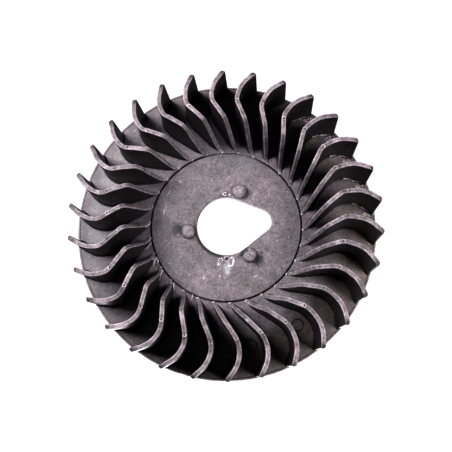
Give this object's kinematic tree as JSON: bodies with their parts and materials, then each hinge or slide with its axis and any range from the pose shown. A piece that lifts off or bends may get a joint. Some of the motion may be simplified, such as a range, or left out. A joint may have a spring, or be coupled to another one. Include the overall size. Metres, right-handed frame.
{
  "type": "flywheel cooling fan",
  "caption": "Radial cooling fan for a small engine's flywheel: dished back plate, curved upright vanes, flat hub with a teardrop hole, drive pegs in front and locating pins behind.",
  "frame": {"origin": "on the spin axis, in the plane of the rear seat that bears on the flywheel", "axes": "+Z along the spin axis towards the vanes and the starter pulley, +X towards the narrow end of the hub hole"},
  "size_m": [0.17, 0.17, 0.0425],
  "materials": {
    "hub_plastic": "satin, fine mottled grain",
    "plate_plastic": "satin, fine mottled grain, faintly brown in the channels",
    "vane_plastic": "satin flanks, paler worn edges",
    "rear_plastic": "satin, fine grain"
  },
  "bodies": {
    "root": {"hub_disc": "hub_plastic", "flywheel_seat": "rear_plastic", "back_plate": "plate_plastic", "plate_slope": "plate_plastic", "plate_margin": "plate_plastic", "rim_bead": "plate_plastic", "pulley_peg_1": "hub_plastic", "pulley_peg_2": "hub_plastic", "pulley_peg_3": "hub_plastic", "flywheel_pin_1": "rear_plastic", "flywheel_pin_2": "rear_plastic", "flywheel_pin_3": "rear_plastic", "flywheel_pin_4": "rear_plastic", "vane_01": "vane_plastic", "vane_02": "vane_plastic", "vane_03": "vane_plastic", "vane_04": "vane_plastic", "vane_05": "vane_plastic", "vane_06": "vane_plastic", "vane_07": "vane_plastic", "vane_08": "vane_plastic", "vane_09": "vane_plastic", "vane_10": "vane_plastic", "vane_11": "vane_plastic", "vane_12": "vane_plastic", "vane_13": "vane_plastic", "vane_14": "vane_plastic", "vane_15": "vane_plastic", "vane_16": "vane_plastic", "vane_17": "vane_plastic", "vane_18": "vane_plastic", "vane_19": "vane_plastic", "vane_20": "vane_plastic", "vane_21": "vane_plastic", "vane_22": "vane_plastic", "vane_23": "vane_plastic", "vane_24": "vane_plastic", "vane_25": "vane_plastic", "vane_26": "vane_plastic", "vane_27": "vane_plastic", "vane_28": "vane_plastic", "vane_29": "vane_plastic", "vane_30": "vane_plastic"}
  },
  "joints": []
}
